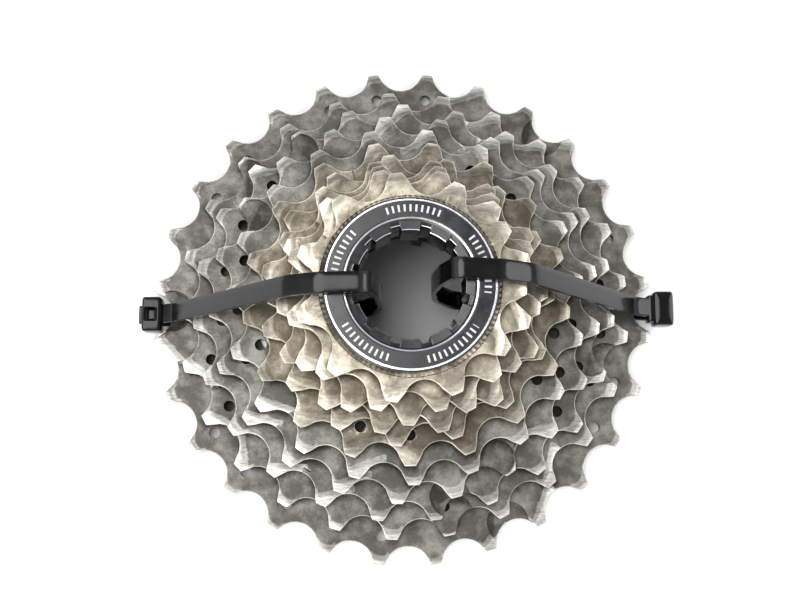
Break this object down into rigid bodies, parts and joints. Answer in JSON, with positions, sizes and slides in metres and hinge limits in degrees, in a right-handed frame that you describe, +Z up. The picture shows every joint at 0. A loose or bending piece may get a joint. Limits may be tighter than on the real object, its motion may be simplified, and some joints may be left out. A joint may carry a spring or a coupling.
{
  "type": "bicycle cassette",
  "caption": "Conical stack of chain sprockets on a splined bore, with spacers, riveted carriers and a screw-in lockring, held by two cable ties.",
  "frame": {"origin": "on the cassette's axis, level with the lowest face of the ties and rivets it rests on", "axes": "+Z up along the axis, towards the smallest sprocket and the lockring; +X through the right tie"},
  "size_m": [0.121, 0.1142, 0.0446],
  "materials": {
    "titanium": "dull blasted titanium, worn",
    "nickel_plated_steel": "satin nickel plate, stained",
    "spacer_aluminium": "turned",
    "carbon_composite": "moulded carbon composite",
    "carrier_aluminium": "satin anodised",
    "rivet_steel": "pressed heads",
    "black_anodised_aluminium": "gloss black anodising with machined rings",
    "black_nylon": "moulded nylon"
  },
  "bodies": {
    "cassette": {"sprocket_28t": "titanium", "sprocket_25t": "titanium", "sprocket_23t": "titanium", "sprocket_21t": "titanium", "sprocket_19t": "titanium", "sprocket_17t": "nickel_plated_steel", "sprocket_15t": "nickel_plated_steel", "sprocket_14t": "nickel_plated_steel", "sprocket_13t": "nickel_plated_steel", "sprocket_12t": "nickel_plated_steel", "sprocket_11t": "nickel_plated_steel", "spacer_19_17": "spacer_aluminium", "spacer_17_15": "spacer_aluminium", "spacer_15_14": "spacer_aluminium", "spacer_14_13": "spacer_aluminium", "carrier_28_25_23": "carbon_composite", "carrier_21_19": "carrier_aluminium", "rivet_large_1": "rivet_steel", "rivet_large_2": "rivet_steel", "rivet_large_3": "rivet_steel", "rivet_large_4": "rivet_steel", "rivet_large_5": "rivet_steel", "rivet_large_6": "rivet_steel", "rivet_middle_1": "rivet_steel", "rivet_middle_2": "rivet_steel", "rivet_middle_3": "rivet_steel", "rivet_middle_4": "rivet_steel", "rivet_middle_5": "rivet_steel", "rivet_middle_6": "rivet_steel", "rivet_small_1": "rivet_steel", "rivet_small_2": "rivet_steel", "rivet_small_3": "rivet_steel", "rivet_small_4": "rivet_steel", "rivet_small_5": "rivet_steel", "rivet_small_6": "rivet_steel", "tie_left": "black_nylon", "tie_right": "black_nylon"},
    "lockring": {"lockring": "black_anodised_aluminium"}
  },
  "joints": [
    {"name": "lockring_turn", "type": "hinge", "parent": "cassette", "child": "lockring", "pos_m": [0, 0, 0.0418], "axis": [0, 0, 1], "continuous": true}
  ]
}
